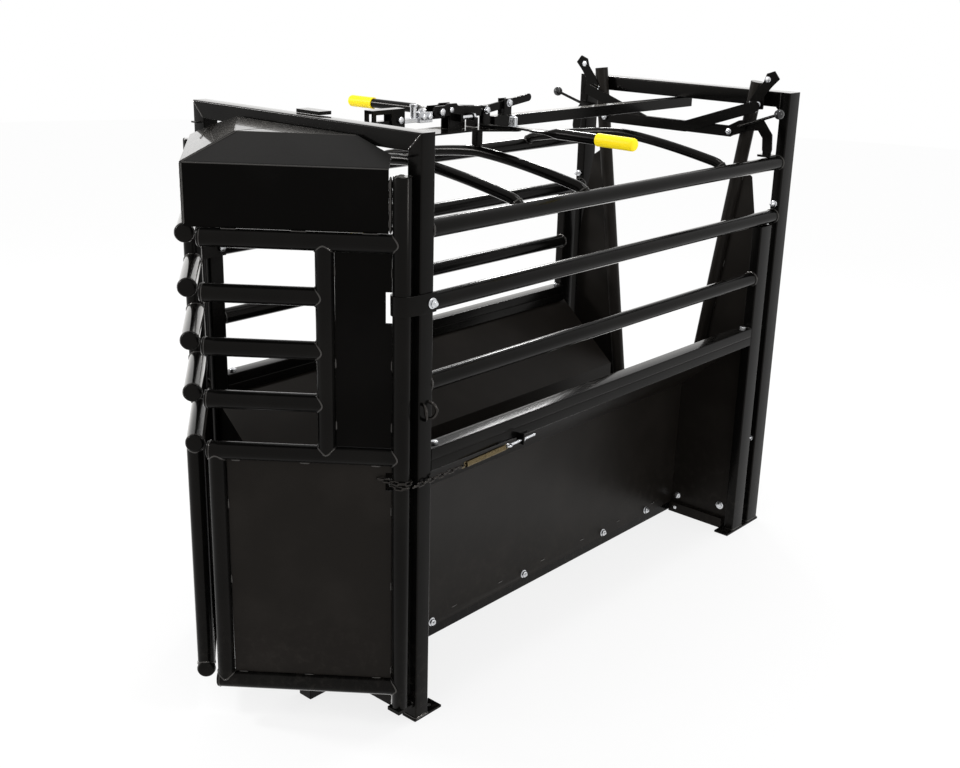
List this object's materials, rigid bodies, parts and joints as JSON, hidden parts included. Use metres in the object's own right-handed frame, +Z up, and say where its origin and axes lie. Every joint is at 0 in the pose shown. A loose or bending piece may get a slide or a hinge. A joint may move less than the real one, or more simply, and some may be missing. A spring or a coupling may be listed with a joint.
{
  "type": "roping chute",
  "caption": "Free-standing roping chute with front doors in a V, pipe sides, sloped inner panels, a lever latch on top and a scissor tail gate.",
  "frame": {"origin": "middle of the footprint, on the floor", "axes": "+Z up, +Y from the front doors to the tail gate, +X to the animal's left as it faces the doors, which is the side the picture shows"},
  "size_m": [1.2094, 2.3624, 1.779],
  "materials": {
    "black": "gloss black powder coat",
    "dark_brown": "dark brown-black coat",
    "zinc": "bright zinc plate",
    "chain": "dark oiled steel",
    "bronze": "yellow zinc plate",
    "grip_yellow": "yellow vinyl grip",
    "knob_black": "black ball knob on its rod"
  },
  "bodies": {
    "chute": {"beam_cover_plate": "black", "front_frame": "black", "front_roof_bow": "black", "latch_channel": "black", "latch_housing": "black", "latch_plate": "black", "left_bottom_rail": "black", "left_chain_run": "chain", "left_door_spring": "bronze", "left_eye_bolt": "zinc", "left_gooseneck": "black", "left_hinge_strap": "black", "left_lower_rail": "black", "left_middle_rail": "black", "left_panel_rail": "black", "left_side_panel": "black", "left_top_rail": "black", "lever_clevis": "zinc", "lever_stop_bracket": "zinc", "middle_roof_bow": "black", "rear_frame": "black", "rear_roof_bow": "black", "right_bottom_rail": "black", "right_chain_run": "chain", "right_door_spring": "bronze", "right_eye_bolt": "zinc", "right_gooseneck": "black", "right_hinge_strap": "black", "right_lower_rail": "black", "right_middle_rail": "black", "right_panel_rail": "black", "right_side_panel": "black", "right_top_rail": "black", "spine_bar": "black"},
    "latch_slide": {"latch_slide": "zinc"},
    "hold_down": {"hold_down_lever": "black"},
    "right_door": {"right_door_frame": "black", "right_door_hood": "black", "right_door_middle_panel": "dark_brown", "right_door_lower_panel": "black", "right_catch_arm": "zinc", "right_chain_wrap": "chain"},
    "right_lever": {"right_latch_lever": "black", "right_lever_grip": "grip_yellow"},
    "right_jaw": {"right_latch_jaw": "zinc"},
    "right_gate": {"right_gate_half": "dark_brown"},
    "right_link": {"right_gate_link": "black", "right_knob_lever": "knob_black"},
    "left_door": {"left_door_frame": "black", "left_door_hood": "black", "left_door_middle_panel": "dark_brown", "left_door_lower_panel": "black", "left_catch_arm": "zinc", "left_chain_wrap": "chain"},
    "left_lever": {"left_latch_lever": "black", "left_lever_grip": "grip_yellow"},
    "left_jaw": {"left_latch_jaw": "zinc"},
    "left_gate": {"left_gate_half": "dark_brown"},
    "left_link": {"left_gate_link": "black", "left_knob_lever": "knob_black"}
  },
  "joints": [
    {"name": "right_door_hinge", "type": "hinge", "parent": "chute", "child": "right_door", "pos_m": [0.442, -0.82882, 0.057], "axis": [0, 0, 1], "range_deg": [0, 110]},
    {"name": "left_door_hinge", "type": "hinge", "parent": "chute", "child": "left_door", "pos_m": [-0.442, -0.82882, 0.057], "axis": [0, 0, 1], "range_deg": [-110, 0]},
    {"name": "right_lever_turn", "type": "hinge", "parent": "chute", "child": "right_lever", "pos_m": [0.118, -0.01882, 1.625], "axis": [0, 0, 1], "range_deg": [0, 25]},
    {"name": "left_lever_turn", "type": "hinge", "parent": "chute", "child": "left_lever", "pos_m": [-0.118, -0.01882, 1.647], "axis": [0, 0, 1], "range_deg": [-25, 0]},
    {"name": "latch_slide_travel", "type": "slide", "parent": "chute", "child": "latch_slide", "axis": [0, 1, 0], "range_m": [-0.04, 0]},
    {"name": "right_jaw_turn", "type": "hinge", "parent": "chute", "child": "right_jaw", "pos_m": [0.05, -0.59482, 1.633], "axis": [0, 0, 1], "range_deg": [0, 28]},
    {"name": "left_jaw_turn", "type": "hinge", "parent": "chute", "child": "left_jaw", "pos_m": [-0.05, -0.59482, 1.633], "axis": [0, 0, 1], "range_deg": [-28, 0]},
    {"name": "hold_down_lift", "type": "hinge", "parent": "chute", "child": "hold_down", "pos_m": [0, -0.02382, 1.669], "axis": [1, 0, 0], "range_deg": [0, 80]},
    {"name": "right_gate_swing", "type": "hinge", "parent": "chute", "child": "right_gate", "pos_m": [0.12, 1.07818, 0.1], "axis": [0, -1, 0], "range_deg": [0, 10.5]},
    {"name": "left_gate_swing", "type": "hinge", "parent": "chute", "child": "left_gate", "pos_m": [-0.12, 1.07818, 0.1], "axis": [0, -1, 0], "range_deg": [-10.5, 0]},
    {"name": "right_link_lift", "type": "hinge", "parent": "chute", "child": "right_link", "pos_m": [-0.28, 1.02118, 1.553], "axis": [0, -1, 0], "range_deg": [0, 6.5]},
    {"name": "left_link_lift", "type": "hinge", "parent": "chute", "child": "left_link", "pos_m": [0.28, 1.03118, 1.553], "axis": [0, -1, 0], "range_deg": [-6.5, 0]}
  ],
  "couplings": [
    {"joint": "left_lever_turn", "follows": "right_lever_turn", "ratio": -1},
    {"joint": "latch_slide_travel", "follows": "right_lever_turn", "m_per_rad": -0.088},
    {"joint": "right_jaw_turn", "follows": "right_lever_turn", "ratio": 1.1},
    {"joint": "left_jaw_turn", "follows": "right_lever_turn", "ratio": -1.1},
    {"joint": "left_gate_swing", "follows": "right_gate_swing", "ratio": -1}
  ]
}
